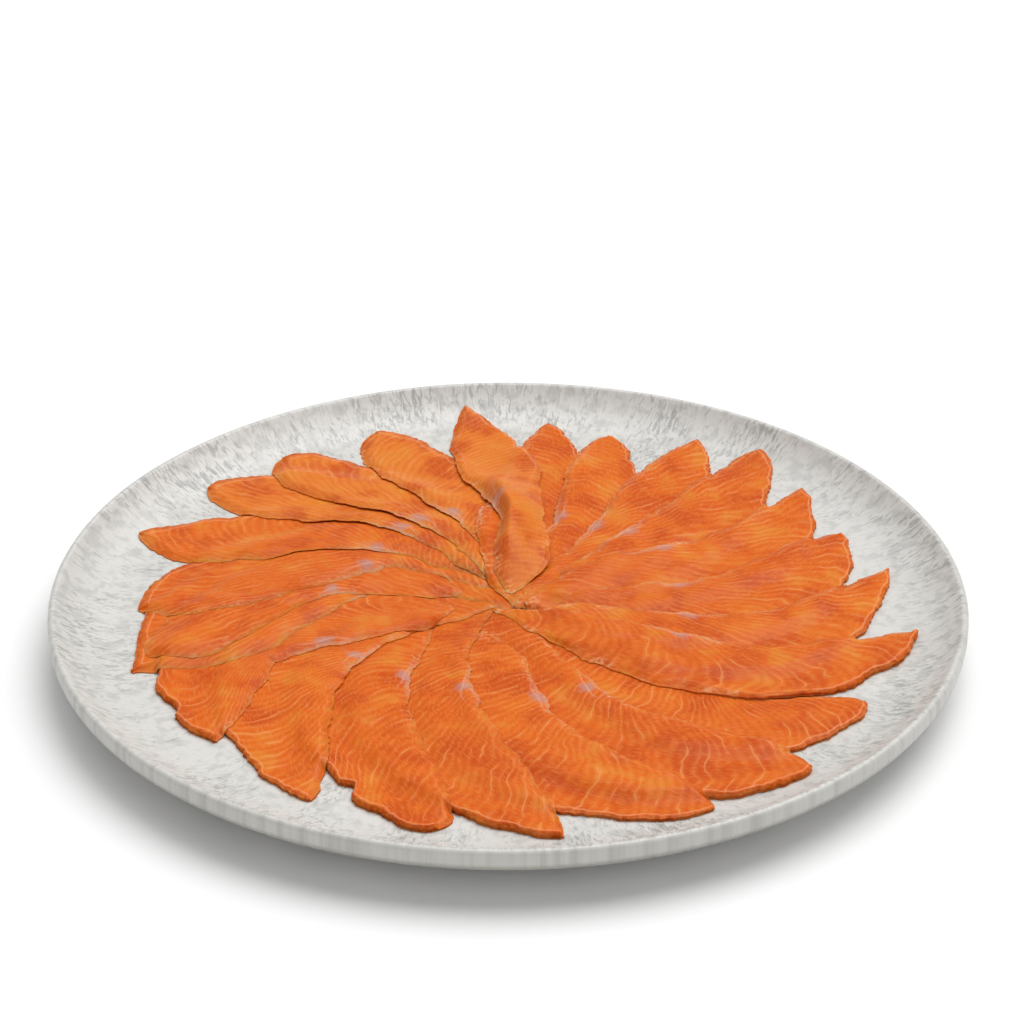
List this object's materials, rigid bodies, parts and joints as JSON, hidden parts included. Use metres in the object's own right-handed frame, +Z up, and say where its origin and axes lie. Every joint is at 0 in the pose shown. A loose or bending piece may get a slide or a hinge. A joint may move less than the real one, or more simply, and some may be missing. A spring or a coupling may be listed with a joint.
{
  "type": "salmon carpaccio on a plate",
  "caption": "Round low stoneware plate with thin slices of raw salmon laid as an overlapping pinwheel that fills it almost to the rim, one slice pinched into a raised pleat.",
  "frame": {"origin": "centre of the plate's foot, on the table", "axes": "+Z up along the plate's axis; +Y from the diner's side to the far side of the plate; +X to the diner's right"},
  "size_m": [0.3, 0.3, 0.0262],
  "materials": {
    "speckled_stoneware": "pale grey reactive glaze with darker grey specks and radial streaks, satin gloss",
    "salmon_flesh": "moist raw salmon, orange with thin pale bands, soft satin shine"
  },
  "bodies": {
    "root": {"plate": "speckled_stoneware", "salmon_slice_01": "salmon_flesh", "salmon_slice_02": "salmon_flesh", "salmon_slice_03": "salmon_flesh", "salmon_slice_04": "salmon_flesh", "salmon_slice_05": "salmon_flesh", "salmon_slice_06": "salmon_flesh", "salmon_slice_07": "salmon_flesh", "salmon_slice_08": "salmon_flesh", "salmon_slice_09": "salmon_flesh", "salmon_slice_10": "salmon_flesh", "salmon_slice_11": "salmon_flesh", "salmon_slice_12": "salmon_flesh", "salmon_slice_13": "salmon_flesh", "salmon_slice_14": "salmon_flesh", "salmon_slice_15": "salmon_flesh", "salmon_slice_16": "salmon_flesh", "salmon_slice_17": "salmon_flesh", "salmon_slice_18": "salmon_flesh", "salmon_slice_19": "salmon_flesh", "salmon_slice_20": "salmon_flesh", "salmon_slice_21": "salmon_flesh", "salmon_slice_22": "salmon_flesh", "salmon_slice_folded": "salmon_flesh"}
  },
  "joints": []
}
